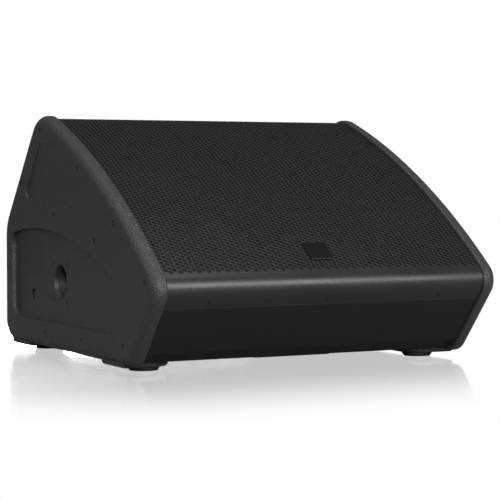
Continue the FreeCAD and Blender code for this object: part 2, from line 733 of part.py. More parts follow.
def magnet_ring():
    return on_baffle(turned([(54, SEAT_Z - 10), (108, SEAT_Z - 10), (108, SEAT_Z - 40), (54, SEAT_Z - 40)]))


def voice_coil():
    return on_baffle(turned([(COIL_R - 1.5, -64), (COIL_R, -64), (COIL_R, -108), (COIL_R - 1.5, -108)]))


def cone():
    """A straight-sided paper cone, with a flat lip under the surround."""
    return on_baffle(turned([(COIL_R, -66), (COIL_R, -70), (COIL_R + 2, -70), (147, 3.4),
                             (156, 5.4), (156, FLANGE_T), (146, FLANGE_T)]))


def surround():
    """A half-roll edge between the cone's lip and the frame's flange."""
    base, thick, mid_r, roll = FLANGE_T, 1.2, 164.0, 7.0
    steps = 8
    outer = [(mid_r - (roll + thick) * math.cos(math.pi * k / steps),
              base + (roll + thick) * math.sin(math.pi * k / steps)) for k in range(steps + 1)]
    inner = [(mid_r - roll * math.cos(math.pi * k / steps),
              base + roll * math.sin(math.pi * k / steps)) for k in range(steps + 1)]
    points = [(148, base), (148, base + thick)]
    points += [(mid_r - roll - thick, base + thick)] + outer[1:-1] + [(mid_r + roll + thick, base + thick)]
    points += [(180, base + thick), (180, base)] + inner[::-1]
    return on_baffle(turned(points))


def spider():
    return on_baffle(turned([(COIL_R, -73), (92, -73), (92, -74), (COIL_R, -74)]))


def hf_horn():
    """The horn that rises through the middle of the cone from the pole piece."""
    inner = [(17.5, -94), (19, -80), (22, -65), (28, -48), (38, -32), (52, -18), (70, -8), (82, -4)]
    flesh = [(r + 3.0, z) for r, z in inner[:-1]]
    points = inner + [(82, -6.5)] + [(r, z - 2.0) for r, z in flesh[:1:-1]] + [(30, -92.0), (30, -94)]
    return on_baffle(turned(points))


def hf_driver():
    low = SEAT_Z - 50
    return on_baffle(turned([(0, low), (62, low), (62, low - 34), (56, low - 38), (50, low - 56),
                             (0, low - 56)]))


def port_tube(x):
    tube = turned([(PORT_R, 0), (PORT_R + 3, 0), (PORT_R + 3, -PORT_LONG), (PORT_R, -PORT_LONG)])
    tube.translate(Vector(x, PORT_Y, 0))
    return on_baffle(tube)


# ---------------------------------------------------------------- amplifier tray and controls
def face_box(centre, width, height, back0, back1):
    x, up = centre
    return box(x - width / 2, x + width / 2, back0, back1, up - height / 2, up + height / 2)


def face_rod(centre, radius, back0, back1):
    return rod(at(back0, centre[1], centre[0]), Vector(0, 1, 0), radius, back1 - back0)


def amp_tray():
    """A pressed tray: flange on the cabinet's back and a sunken floor for the controls."""
    flange = box(-TRAY_X - 12, TRAY_X + 12, TRAY_FACE, TRAY_FACE + 2, TRAY_LOW - 9, TRAY_HIGH + 9)
    flange = flange.makeFillet(6.0, [e for e in flange.Edges if abs(e.tangentAt(0).y) > 0.99])
    pan = box(-TRAY_X - TRAY_WALL, TRAY_X + TRAY_WALL, TRAY_FLOOR - 3, TRAY_FACE + 1,
              TRAY_LOW - TRAY_WALL, TRAY_HIGH + TRAY_WALL)
    tray = flange.fuse(pan)
    tray = tray.cut(box(-TRAY_X, TRAY_X, TRAY_FLOOR, TRAY_FACE + 5, TRAY_LOW, TRAY_HIGH))
    tools = [face_rod(KNOB_AT, SPINDLE_R + 0.05, TRAY_FLOOR - 5, TRAY_FLOOR + 1),
             face_rod(BUTTON_AT, BUTTON_R + 0.08, TRAY_FLOOR - 5, TRAY_FLOOR + 1),
             face_box(SWITCH_AT, 22.0, 28.0, TRAY_FLOOR - 5, TRAY_FLOOR + 1),
             face_box(INLET_AT, 27.0, 20.0, TRAY_FLOOR - 5, TRAY_FLOOR + 1),
             face_rod(LINK_AT, BARREL_R + 0.2, TRAY_FLOOR - 5, TRAY_FLOOR + 1),
             face_box(LAMP_AT, 44.0, 5.0, TRAY_FLOOR - 5, TRAY_FLOOR + 1)]
    tools += [face_rod(INPUT_AT, BARREL_R + 0.2, TRAY_FLOOR - 5, TRAY_FLOOR + 1),
              face_box(LATCH_AT, 8.4, 5.0, TRAY_FLOOR - 5, TRAY_FLOOR + 1)]
    tools += [rod(place - Vector(0, 20, 0), Vector(0, 1, 0), SCREW_R + 0.2, 40) for place in tray_bolts()]
    return tray.cut(tools)


def tray_bolts():
    face = TRAY_FACE + 2
    places = [at(face, up, x) for x in (-TRAY_X - 7, TRAY_X + 7) for up in (TRAY_LOW, TRAY_HIGH)]
    places += [at(face, up, x) for x in (-60.0, 60.0) for up in (TRAY_LOW - 5.5, TRAY_HIGH + 5.5)]
    return places


def amp_screws():
    screws = []
    for place in tray_bolts():
        head = rod(place, Vector(0, 1, 0), 3.4, 1.6)
        shank = rod(place - Vector(0, 10, 0), Vector(0, 1, 0), SCREW_R, 10)
        screws.append(head.fuse(shank))
    return screws


def heat_sink():
    """Upright cooling fins on a base plate, in one half of the tray."""
    low, high = TRAY_LOW + 6, TRAY_HIGH - 6
    sink = box(SINK_X[0], SINK_X[1], TRAY_FLOOR, TRAY_FLOOR + 3, low, high)
    pitch = (SINK_X[1] - SINK_X[0] - FIN_T) / (FIN_COUNT - 1)
    fins = [box(SINK_X[0] + k * pitch, SINK_X[0] + k * pitch + FIN_T, TRAY_FLOOR + 2, TRAY_FLOOR + 16,
                low, high) for k in range(FIN_COUNT)]
    return sink.fuse(fins)


def amp_cover():
    """The folded steel cover over the electronics, open towards the tray that closes it."""
    wall = 1.5
    back_y = TRAY_FLOOR - 3
    body = box(-172, 172, AMP_COVER_BACK, back_y, TRAY_LOW, TRAY_HIGH)
    body = body.makeFillet(4.0, [e for e in body.Edges if abs(e.tangentAt(0).y) > 0.99])
    inside = box(-172 + wall, 172 - wall, AMP_COVER_BACK + wall, back_y + 1,
                 TRAY_LOW + wall, TRAY_HIGH - wall)
    return body.cut(inside)


def amp_board():
    """The output stage: a board behind the heat sink with its transistors and coils."""
    board = box(-164, 4, TRAY_FLOOR - 12, TRAY_FLOOR - 10, TRAY_LOW + 8, TRAY_HIGH - 8)
    spread = box(-150, -20, TRAY_FLOOR - 10, TRAY_FLOOR - 3, TRAY_LOW + 20, TRAY_LOW + 50)
    coils = [rod(at(TRAY_FLOOR - 30, TRAY_HIGH - 34, x), Vector(0, 1, 0), 13.0, 18.0)
             for x in (-130.0, -92.0, -54.0)]
    return board.fuse([spread] + coils)


def power_supply():
    """The power supply on its own board: a transformer and two storage capacitors."""
    low = TRAY_LOW + 8
    board = box(30, 164, AMP_COVER_BACK + 10, TRAY_FLOOR - 22, low, low + 2)
    core = box(96, 158, AMP_COVER_BACK + 16, TRAY_FLOOR - 30, low + 2, low + 40)
    cans = [rod(at(AMP_COVER_BACK + 30, low + 2, x), Vector(0, 0, 1), 12.5, 36.0) for x in (46.0, 76.0)]
    return board.fuse([core] + cans)


def control_board():
    """The circuit board behind the tray, with the level control's and the button's bodies."""
    board = box(16, 166, TRAY_FLOOR - 17.6, TRAY_FLOOR - 16, 118, 172)
    pot = face_rod(KNOB_AT, 8.0, TRAY_FLOOR - 16, TRAY_FLOOR - 3)
    key = face_box(BUTTON_AT, 12, 12, TRAY_FLOOR - 16, TRAY_FLOOR - 9)
    board = board.fuse([pot, key])
    return board.cut(face_rod(KNOB_AT, SPINDLE_R + 0.05, TRAY_FLOOR - 12, TRAY_FLOOR))


def level_knob():
    body = face_rod(KNOB_AT, KNOB_R, TRAY_FLOOR + 0.4, TRAY_FLOOR + 13)
    body = body.makeChamfer(1.0, [e for e in body.Edges if e.BoundBox.YMin > at(TRAY_FLOOR + 12.9, 0).y])
    grips = []
    for k in range(12):
        turn = math.radians(30.0 * k + 15.0)
        spot = (KNOB_AT[0] + (KNOB_R + 0.5) * math.cos(turn), KNOB_AT[1] + (KNOB_R + 0.5) * math.sin(turn))
        grips.append(face_rod(spot, 1.3, TRAY_FLOOR + 3, TRAY_FLOOR + 14))
    mark = box(KNOB_AT[0] - 0.6, KNOB_AT[0] + 0.6, TRAY_FLOOR + 12.2, TRAY_FLOOR + 14,
               KNOB_AT[1] + 2, KNOB_AT[1] + KNOB_R)
    spindle = face_rod(KNOB_AT, SPINDLE_R, TRAY_FLOOR - 11.5, TRAY_FLOOR + 1)
    return body.cut(grips + [mark]).fuse(spindle)


def mode_button():
    cap = face_rod(BUTTON_AT, BUTTON_R, TRAY_FLOOR - 7, TRAY_FLOOR + 5)
    return cap.makeChamfer(0.6, [e for e in cap.Edges if e.BoundBox.YMin > at(TRAY_FLOOR + 4.9, 0).y])


def switch_frame():
    rim = face_box(SWITCH_AT, 26.0, 32.0, TRAY_FLOOR, TRAY_FLOOR + 3)
    rim = rim.makeFillet(2.0, [e for e in rim.Edges if abs(e.tangentAt(0).y) > 0.99])
    shell = face_box(SWITCH_AT, 21.6, 27.6, TRAY_FLOOR - 14, TRAY_FLOOR + 0.5)
    pin = rod(at(ROCKER_PIVOT, SWITCH_AT[1], SWITCH_AT[0] - 9.2), Vector(1, 0, 0), 1.25, 18.4)
    well = face_box(SWITCH_AT, 16.0, 23.2, TRAY_FLOOR - 12, TRAY_FLOOR + 9)
    return rim.fuse(shell).cut([well, pin])


def power_rocker():
    """The rocker, tipped to its off position about a pin that crosses the frame."""
    x, up = SWITCH_AT
    half = 10.6
    pivot = at(ROCKER_PIVOT, up, x)
    points = [(-half, 4.2), (0, 2.6), (half, 4.2), (half, -1.0), (5.0, -6.0), (-5.0, -6.0), (-half, -1.0)]
    wire = Part.makePolygon([Vector(-7.6, y, z) for z, y in points + points[:1]])
    body = Part.Face(wire).extrude(Vector(15.2, 0, 0))
    body.rotate(Vector(0, 0, 0), Vector(1, 0, 0), ROCKER_REST_DEG)
    body.translate(pivot)
    return body.fuse(rod(pivot - Vector(8.9, 0, 0), Vector(1, 0, 0), 1.2, 17.8))


def mains_inlet():
    """A sunken rectangular inlet, open at the back, with a flange on the tray's floor."""
    rim = face_box(INLET_AT, 40.0, 28.0, TRAY_FLOOR, TRAY_FLOOR + 3)
    rim = rim.makeFillet(4.0, [e for e in rim.Edges if abs(e.tangentAt(0).y) > 0.99])
    shell = face_box(INLET_AT, 26.6, 19.6, TRAY_FLOOR - 14.5, TRAY_FLOOR + 0.5)
    return rim.fuse(shell).cut(face_box(INLET_AT, 22.6, 15.6, TRAY_FLOOR - 12, TRAY_FLOOR + 5))


def socket_flange(centre):
    plate = face_box(centre, 26.0, 31.0, TRAY_FLOOR, TRAY_FLOOR + 2)
    return plate.makeFillet(3.0, [e for e in plate.Edges if abs(e.tangentAt(0).y) > 0.99])


def signal_input():
    """A round female connector: a plate, a barrel, three contact holes and the latch's slot."""
    x, up = INPUT_AT
    body = socket_flange(INPUT_AT).fuse(face_rod(INPUT_AT, BARREL_R, TRAY_FLOOR - 14, TRAY_FLOOR + 3.5))
    holes = [face_rod((x + p.x, up + p.y), 1.6, TRAY_FLOOR - 6, TRAY_FLOOR + 5)
             for p in circle_points(5.0, 3, 30.0)]
    slot = face_box(LATCH_AT, 7.2, 4.0, TRAY_FLOOR - 12, TRAY_FLOOR + 5)
    return body.cut(holes + [slot])


def input_latch():
    """The thumb tab that lets a plug go."""
    tab = face_box(LATCH_AT, 7.0, 3.8, TRAY_FLOOR - 8, TRAY_FLOOR + 4.5)
    return tab.makeChamfer(0.8, [e for e in tab.Edges if e.BoundBox.YMin > at(TRAY_FLOOR + 4.4, 0).y])


def signal_link():
    """A round male connector: an open cup that a plug goes into."""
    body = socket_flange(LINK_AT).fuse(face_rod(LINK_AT, BARREL_R, TRAY_FLOOR - 14.5, TRAY_FLOOR + 3.0))
    return body.cut(face_rod(LINK_AT, 9.6, TRAY_FLOOR - 12, TRAY_FLOOR + 5))


def lamp_window():
    return face_box(LAMP_AT, 43.4, 4.6, TRAY_FLOOR - 3, TRAY_FLOOR + 1.0)


# ---------------------------------------------------------------- build
def build_carcass():
    ring = shell_ring()
    front, bottom, back = front_panel(ring), bottom_panel(ring), back_panel(ring)
    upper = upper_back_panel(ring)
    foot_holes = [rod(at(b, 0, x), Vector(0, 0, 1), 2.7, 28)
                  for x in (-FOOT_X, FOOT_X) for b in FOOT_BACKS]
    bottom = bottom.cut(foot_holes)
    back = back.cut([rod(p - Vector(0, 14, 0), Vector(0, 1, 0), SCREW_R + 0.1, 40) for p in tray_bolts()])
    save("front_panel", front)
    save("bottom_panel", bottom)
    save("back_panel", back)
    save("upper_back_panel", upper)
    nose_rail, top_rail = rail(ABOVE_SEAM, -1, 34.0), rail(ABOVE_TAIL, 1, 30.0)
    bores = [rod(place - inward * 5, inward, SCREW_R + 0.1, 24)
             for place, inward in grille_screw_places()]
    save("nose_rail", nose_rail.cut(bores))
    save("top_rail", top_rail.cut(bores))
    save("baffle_board", baffle_board())
    board = end_board([front, bottom, back, upper])
    left = board.cut(rod(at(*POLE_AT, -INNER_X - 1), Vector(1, 0, 0), POLE_FLANGE_R + 0.3, 60))
    left = left.cut(rod(at(*FIXING_AT, -INNER_X - 1), Vector(1, 0, 0), FIXING_SHANK_R + 0.1, 60))
    right = mirrored(board).cut(handle_opening(16.3, 200, INNER_X + 1))
    save("end_board_left", left)
    save("end_board_right", right)


def build_cheeks():
    plain = plain_cheek()
    save("cheek_left", cheek_left(plain))
    ring = handle_opening(18.0, INNER_X, WIDTH / 2 - SKIN_X + 0.5)
    right = mirrored(plain).fuse(ring).cut(handle_opening(3.3, INNER_X - 5, WIDTH / 2 + 5))
    for y, z in handle_bolt_places():
        right = right.cut(rod(at(y, z, INNER_X - 1), Vector(1, 0, 0), SCREW_R + 0.1, 10))
    save("cheek_right", right)
    screws = cheek_screws()
    save("cheek_screws_left", screws)
    save("cheek_screws_right", [mirrored(screw) for screw in screws])


def build_fittings():
    save("pole_socket", pole_socket())
    save("pole_socket_screws", pole_socket_screws())
    save("label_plate", recess_plate(LABEL_AT, LABEL_SIZE, 0.5, 2.0))
    save("fixing_bolt", fixing_bolt())
    save("handle_dish", handle_dish())
    save("handle_grip", handle_grip())
    save("handle_screws", handle_screws())
    for side, x in (("left", -FOOT_X), ("right", FOOT_X)):
        for end, back in zip(("front", "rear"), FOOT_BACKS):
            save("foot_%s_%s" % (end, side), foot(x, back))
    save("foot_screws", foot_screws())
    save("bottom_pad", bottom_pad())


def build_grille():
    save("grille", grille())
    save("grille_foam", grille_foam())
    save("grille_screws", grille_screws())
    save("badge_plate", badge_plate())


def build_driver():
    save("woofer_frame", woofer_frame())
    save("woofer_screws", woofer_screws())
    save("magnet_plates", magnet_plates())
    save("magnet_ring", magnet_ring())
    save("voice_coil", voice_coil())
    save("cone", cone())
    save("surround", surround())
    save("spider", spider())
    save("hf_horn", hf_horn())
    save("hf_driver", hf_driver())
    save("port_tube_left", port_tube(-PORT_X))
    save("port_tube_right", port_tube(PORT_X))


def build_amplifier():
    save("amp_tray", amp_tray())
    save("amp_screws", amp_screws())
    save("heat_sink", heat_sink())
    save("amp_cover", amp_cover())
    save("amp_board", amp_board())
    save("power_supply", power_supply())
    save("control_board", control_board())
    save("level_knob", level_knob())
    save("mode_button", mode_button())
    save("switch_frame", switch_frame())
    save("power_rocker", power_rocker())
    save("mains_inlet", mains_inlet())
    save("signal_input", signal_input())
    save("input_latch", input_latch())
    save("signal_link", signal_link())
    save("lamp_window", lamp_window())


build_carcass()
build_cheeks()
build_fittings()
build_grille()
build_driver()
build_amplifier()
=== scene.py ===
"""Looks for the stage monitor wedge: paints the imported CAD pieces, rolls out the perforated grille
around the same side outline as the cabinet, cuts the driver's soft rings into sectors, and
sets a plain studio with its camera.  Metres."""
import json
import math

import bmesh
import bpy
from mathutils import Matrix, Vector


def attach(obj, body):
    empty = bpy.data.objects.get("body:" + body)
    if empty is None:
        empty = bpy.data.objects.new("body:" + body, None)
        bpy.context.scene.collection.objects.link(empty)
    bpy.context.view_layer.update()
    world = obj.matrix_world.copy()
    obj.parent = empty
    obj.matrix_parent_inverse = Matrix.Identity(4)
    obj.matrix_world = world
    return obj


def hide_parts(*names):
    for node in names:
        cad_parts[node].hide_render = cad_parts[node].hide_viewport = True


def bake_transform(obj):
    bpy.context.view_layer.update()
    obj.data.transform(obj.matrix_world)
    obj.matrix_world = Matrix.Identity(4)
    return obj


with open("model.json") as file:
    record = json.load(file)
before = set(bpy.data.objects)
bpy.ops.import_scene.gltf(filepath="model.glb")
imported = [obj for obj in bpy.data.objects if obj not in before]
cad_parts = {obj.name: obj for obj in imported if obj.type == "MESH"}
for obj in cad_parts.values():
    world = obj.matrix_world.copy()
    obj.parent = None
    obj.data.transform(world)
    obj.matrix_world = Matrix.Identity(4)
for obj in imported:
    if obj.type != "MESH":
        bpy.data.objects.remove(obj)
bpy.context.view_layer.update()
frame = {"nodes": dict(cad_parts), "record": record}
NODES = frame["nodes"]

# ---- the side outline in (back, up): its sharp corners and the radii that round them ----
DEPTH = 0.6345
HALF_WIDTH = 0.300
NOSE = Vector((-0.0135, 0.1344))
NOSE_R = 0.0329
APEX = Vector((0.4744, 0.4057))
APEX_R = 0.058
SHOULDER = Vector((DEPTH, 0.214))
TOE = Vector((0.0911, 0.0114))
BULGE = 0.029               # the slope's long arc stands this far out from its chord

# ---- grille sheet ----
SHEET_INSET = 0.0044        # from the outline in to the sheet's outer face
SHEET_T = 0.0015
SHEET_HALF = 0.2759         # half its width
SEAM_UP = 0.0997            # height of its lower end, on the undercut
TAIL_RUN = 0.070            # from the apex down the back to its upper end
HOLE_PITCH_X = 0.0155       # between columns of the same phase
HOLE_ROW = 0.00415          # half the step between the holes of one column
HOLE_FLATS = 0.0070
FIRST_HOLE_UP = 0.156
LAST_HOLE_RUN = 0.045       # plain margin before the upper end
APRON_STEPS = 24            # strips in each plain margin, so that it follows the curve
SEARCH_STEPS = 2000
MICRON = 1e6                # corners that agree to a micron are one vertex
SHARP_ANGLE = math.radians(35)

# ---- driver: where its axis meets the baffle, which way it faces, and how many sectors its soft rings are cut into ----
DRIVER_AT = Vector((0, -0.08097, 0.25956))
DRIVER_OUT = Vector((0, -0.48598, 0.87397))
ACROSS = Vector((1, 0, 0))
SECTORS = 12

# ---- surfaces ----
NOISE_RANGE = (0.3, 0.7)    # most of a noise texture's values lie between these
UNEVEN_SCALE = 9.0
UNEVEN_ROUGHNESS = 0.05
PEBBLE_SCALE = 320.0
PEBBLE_DEPTH = 0.0016
PEBBLE_ROUGHNESS = (0.31, 0.37)
PEBBLE_UNEVEN_SCALE = 7.0
FOAM_GREY = 0.022
FOAM_SCALE = 900.0
FOAM_DEPTH = 0.001

# name: colour, roughness, grain scale, grain depth, specular level, metallic
GRAINED = {
    "coated_ply": ((0.009, 0.009, 0.0092), 0.62, 900.0, 0.0003, 0.22, 0.0),
    "grille_steel": ((0.01, 0.01, 0.0102), 0.38, 1500.0, 0.00003, 0.45, 0.0),
    "black_steel": ((0.012, 0.012, 0.012), 0.4, 800.0, 0.0001, 0.5, 0.0),
    "foot_rubber": ((0.012, 0.012, 0.012), 0.6, 700.0, 0.0002, 0.5, 0.0),
    "moulded_black": ((0.018, 0.018, 0.019), 0.45, 900.0, 0.0002, 0.5, 0.0),
    "badge_black": ((0.004, 0.004, 0.0045), 0.25, 500.0, 0.00003, 0.2, 0.0),
    "label_black": ((0.02, 0.02, 0.021), 0.35, 600.0, 0.00005, 0.5, 0.0),
    "bright_steel": ((0.4, 0.4, 0.4), 0.35, 700.0, 0.0001, 0.5, 1.0),
    "cast_frame": ((0.02, 0.02, 0.02), 0.5, 400.0, 0.0004, 0.5, 0.0),
    "ferrite": ((0.03, 0.03, 0.032), 0.55, 300.0, 0.0003, 0.5, 0.0),
    "driver_body": ((0.02, 0.02, 0.021), 0.4, 500.0, 0.0001, 0.5, 0.0),
    "cone_paper": ((0.02, 0.02, 0.02), 0.8, 500.0, 0.0005, 0.5, 0.0),
    "coil_copper": ((0.6, 0.25, 0.1), 0.35, 2500.0, 0.0001, 0.5, 1.0),
    "edge_cloth": ((0.015, 0.015, 0.015), 0.6, 900.0, 0.0003, 0.5, 0.0),
    "spider_cloth": ((0.4, 0.25, 0.1), 0.8, 900.0, 0.0003, 0.5, 0.0),
    "panel_paint": ((0.018, 0.018, 0.019), 0.5, 1200.0, 0.0001, 0.5, 0.0),
    "sink_alloy": ((0.02, 0.02, 0.021), 0.38, 900.0, 0.0001, 0.5, 0.6),
    "cover_steel": ((0.5, 0.5, 0.51), 0.4, 200.0, 0.0001, 0.5, 1.0),
    "circuit_board": ((0.02, 0.12, 0.05), 0.45, 300.0, 0.0002, 0.5, 0.0),
    "knob_plastic": ((0.02, 0.02, 0.02), 0.6, 900.0, 0.0002, 0.5, 0.0),
    "button_plastic": ((0.12, 0.12, 0.125), 0.5, 900.0, 0.0001, 0.5, 0.0),
    "rocker_plastic": ((0.012, 0.012, 0.012), 0.2, 900.0, 0.00003, 0.5, 0.0),
    "latch_metal": ((0.4, 0.4, 0.41), 0.35, 900.0, 0.0001, 0.5, 1.0),
    "lamp_plastic": ((0.02, 0.02, 0.025), 0.15, 500.0, 0.00003, 0.5, 0.0),
}

# ---- studio ----
AMBIENT = 0.18              # strength of the even light from all round
MIRROR_DEPTH = 0.46         # share of white that the floor's mirroring takes away under the object
MIRROR_REACH = 0.46
MIRROR_ROUGHNESS = 0.07
FLOOR_SIZE = 60.0
FLOOR_GREY = 0.25           # the floor as every ray but the camera's meets it

# name, place, aim, width, height, watts
LAMPS = (
    ("front_soft", (-1.2, -3.0, 1.9), (0, 0, 0.15), 1.2, 0.6, 54),
    ("front_low", (-0.6, -3.4, 0.6), (-0.2, 0, 0.15), 0.8, 0.5, 40),
    ("left_soft", (-2.9, -0.1, 2.0), (-0.3, 0, 0.2), 0.9, 0.9, 26),
    ("top_soft", (-0.8, 0.3, 2.9), (0, 0, 0.3), 1.8, 1.5, 14),
    ("rim_strip", (0.2, -0.6, 2.2), (-0.29, -0.22, 0.20), 0.25, 0.25, 12),
    ("nose_strip", (0.9, -2.3, 1.0), (0.9, -0.3, 0.15), 1.4, 0.7, 40),
    ("back_soft", (0.9, 2.8, 0.27), (0.1, 0.3, 0.27), 1.0, 0.4, 40),
)

CAMERA_AT = (-1.3606, -2.6760, 0.2982)
CAMERA_TILT = 87.61
CAMERA_TURN = -27.3
SENSOR_WIDTH = 36.0         # millimetres, like the lens
LENS = 129.35


# ---------------------------------------------------------------- the grille's path
def turn_left(v):
    return Vector((-v.y, v.x))


def angle_of(v):
    """A direction's angle, from 0 to a full turn."""
    angle = math.atan2(v.y, v.x)
    return angle + 2 * math.pi if angle < 0 else angle


def arc_centre():
    """Centre and radius of the long arc that bulges the slope outwards."""
    chord = APEX - NOSE
    radius = (chord.length_squared / 4 + BULGE ** 2) / (2 * BULGE)
    out = turn_left(chord).normalized()
    return (NOSE + APEX) / 2 + out * (BULGE - radius), radius


def corner_centre(start, end, corner_r, centre, big_r):
    """Centre of the round that joins the straight start-end to the long arc, and the inward normal."""
    along = (end - start).normalized()
    inward = -turn_left(along) if turn_left(along).dot(centre - start) < 0 else turn_left(along)
    base = start + inward * corner_r
    offset = base - centre
    half = offset.dot(along)
    root = math.sqrt(half ** 2 - offset.length_squared + (big_r - corner_r) ** 2)
    return base + along * (root - half), inward


class Straight:
    """A straight stretch of a path."""

    def __init__(self, start, end, out):
        self.start = start
        self.end = end
        self.out = out
        self.length = (end - start).length

    def at(self, share):
        return self.start.lerp(self.end, share), self.out


class Round:
    """A stretch of a path about a centre, from one angle to another."""

    def __init__(self, centre, radius, from_angle, to_angle):
        self.centre = centre
        self.radius = radius
        self.from_angle = from_angle
        self.turn = to_angle - from_angle
        self.length = abs(self.turn) * radius

    def at(self, share):
        angle = self.from_angle + self.turn * share
        out = Vector((math.cos(angle), math.sin(angle)))
        return self.centre + out * self.radius, out


class Path:
    """A chain of stretches that can be walked by length."""

    def __init__(self, stretches):
        self.stretches = stretches
        self.length = sum(stretch.length for stretch in stretches)

    def at(self, run):
        """The point and the outward normal at a length along the path."""
        for stretch in self.stretches:
            if run <= stretch.length or stretch is self.stretches[-1]:
                return stretch.at(run / stretch.length)
            run -= stretch.length


def grille_path(inset):
    """From the seam, up the undercut, round the nose, up the slope, over the apex and down the tail."""
    centre, big_r = arc_centre()
    under = (NOSE - TOE).normalized()
    down = (SHOULDER - APEX).normalized()
    nose_mid, nose_in = corner_centre(TOE, NOSE, NOSE_R, centre, big_r)
    apex_mid, apex_in = corner_centre(SHOULDER, APEX, APEX_R, centre, big_r)
    seam = TOE + under * ((SEAM_UP - TOE.y) / under.y) + nose_in * inset
    tail = APEX + down * TAIL_RUN + apex_in * inset
    touch_nose = angle_of((nose_mid - centre).normalized())
    touch_apex = angle_of((apex_mid - centre).normalized())
    return Path([
        Straight(seam, nose_mid - nose_in * (NOSE_R - inset), -nose_in),
        Round(nose_mid, NOSE_R - inset, angle_of(-nose_in), touch_nose),
        Round(centre, big_r - inset, touch_nose, touch_apex),
        Round(apex_mid, APEX_R - inset, touch_apex, angle_of(-apex_in)),
        Straight(apex_mid - apex_in * (APEX_R - inset), tail, -apex_in),
    ])


def run_at_height(path, up):
    """The length along the path at which it first reaches a height."""
    runs = (path.length * k / SEARCH_STEPS for k in range(SEARCH_STEPS))
    return next(run for run in runs if path.at(run)[0].y >= up)


# ---------------------------------------------------------------- the perforated sheet
def hexagon(half_x, half_run):
    """Corners of a six-sided cell or hole with two of its points along X."""
    return [(half_x, 0.0), (half_x / 2, half_run), (-half_x / 2, half_run),
            (-half_x, 0.0), (-half_x / 2, -half_run), (half_x / 2, -half_run)]


class Sheet:
    """Collects the faces of a sheet laid out flat as (x, run) and wrapped on a path.

    Its two sides are numbered by deep: 0 is the outer one and 1 the inner one."""

    def __init__(self, path):
        self.path = path
        self.points = {}
        self.verts = []
        self.faces = []

    def vert(self, x, run, deep):
        """The number of the vertex at a place on the sheet, which is made if it is new."""
        x = max(-SHEET_HALF, min(SHEET_HALF, x))
        run = max(0.0, min(self.path.length, run))
        key = (round(x * MICRON), round(run * MICRON), deep)
        if key not in self.points:
            place, out = self.path.at(run)
            if deep:
                place = place - out * SHEET_T
            self.points[key] = len(self.verts)
            self.verts.append((x, place.x - DEPTH / 2, place.y))
        return self.points[key]

    def face(self, corners):
        """Add a face, unless the sheet's edge has cut it down to nothing."""
        apart = [corner for k, corner in enumerate(corners) if corner != corners[k - 1]]
        if len(set(apart)) > 2:
            self.faces.append(apart)

    def cell(self, x, run, has_hole):
        """One six-sided cell on both sides of the sheet, with its hole's walls."""
        ring = [(x + a, run + b) for a, b in hexagon(HOLE_PITCH_X / 3, HOLE_ROW)]
        outer = {deep: [self.vert(a, b, deep) for a, b in ring] for deep in (0, 1)}
        if not has_hole:
            self.face(outer[0])
            self.face(outer[1][::-1])
            return
        hole = [(x + a, run + b) for a, b in hexagon(HOLE_FLATS / math.sqrt(3), HOLE_FLATS / 2)]
        inner = {deep: [self.vert(a, b, deep) for a, b in hole] for deep in (0, 1)}
        for k in range(6):
            n = (k + 1) % 6
            self.face([outer[0][k], outer[0][n], inner[0][n], inner[0][k]])
            self.face([outer[1][n], outer[1][k], inner[1][k], inner[1][n]])
            self.face([inner[0][k], inner[0][n], inner[1][n], inner[1][k]])

    def apron(self, border, end):
        """Plain sheet from a zigzag border of (x, run) points straight on to one end of the path."""
        for (x, run), (next_x, next_run) in zip(border, border[1:]):
            low, high = min(run, end), max(run, end)
            next_low, next_high = min(next_run, end), max(next_run, end)
            for k in range(APRON_STEPS):
                start, stop = k, k + 1
                corners = [(x, low + (high - low) * start / APRON_STEPS),
                           (next_x, next_low + (next_high - next_low) * start / APRON_STEPS),
                           (next_x, next_low + (next_high - next_low) * stop / APRON_STEPS),
                           (x, low + (high - low) * stop / APRON_STEPS)]
                self.face([self.vert(a, b, 0) for a, b in corners])
                self.face([self.vert(a, b, 1) for a, b in corners][::-1])

    def rim(self):
        """Close the sheet's two long edges, where x is fixed, and its two ends, where run is."""
        for fixed, limits in ((0, (-SHEET_HALF, SHEET_HALF)), (1, (0.0, self.path.length))):
            for limit in limits:
                self.edge_wall(fixed, round(limit * MICRON))

    def edge_wall(self, fixed, mark):
        """Join the two sides of the sheet along the edge on which one coordinate is fixed at mark."""
        sides = ({}, {})
        for key, number in self.points.items():
            if key[fixed] == mark:
                sides[key[2]][key[1 - fixed]] = number
        places = sorted(sides[0])
        for low, high in zip(places, places[1:]):
            self.face([sides[0][low], sides[0][high], sides[1][high], sides[1][low]])


def add_piece(mesh):
    """A new piece of the visual model with a mesh of its own."""
    piece = bpy.data.objects.new(mesh.name, mesh)
    bpy.context.scene.collection.objects.link(piece)
    return piece


def perforated_sheet():
    """Every cell and both plain margins of the grille, with its cut edges closed."""
    path = grille_path(SHEET_INSET)
    sheet = Sheet(path)
    first = run_at_height(path, FIRST_HOLE_UP)
    last = path.length - LAST_HOLE_RUN
    columns = int(SHEET_HALF / (HOLE_PITCH_X / 2)) + 2
    rows = int((last - first) / (2 * HOLE_ROW))
    lower, upper = [], []
    for i in range(-columns, columns + 1):
        x = i * HOLE_PITCH_X / 2
        start = first + (HOLE_ROW if i % 2 else 0.0)
        fits = abs(x) + HOLE_FLATS / math.sqrt(3) < SHEET_HALF
        for j in range(rows):
            sheet.cell(x, start + 2 * HOLE_ROW * j, fits)
        for side in (x - HOLE_PITCH_X / 6, x + HOLE_PITCH_X / 6):
            lower.append((side, start - HOLE_ROW))
            upper.append((side, start + HOLE_ROW * (2 * rows - 1)))
    sheet.apron(lower, 0.0)
    sheet.apron(upper, path.length)
    sheet.rim()
    return sheet


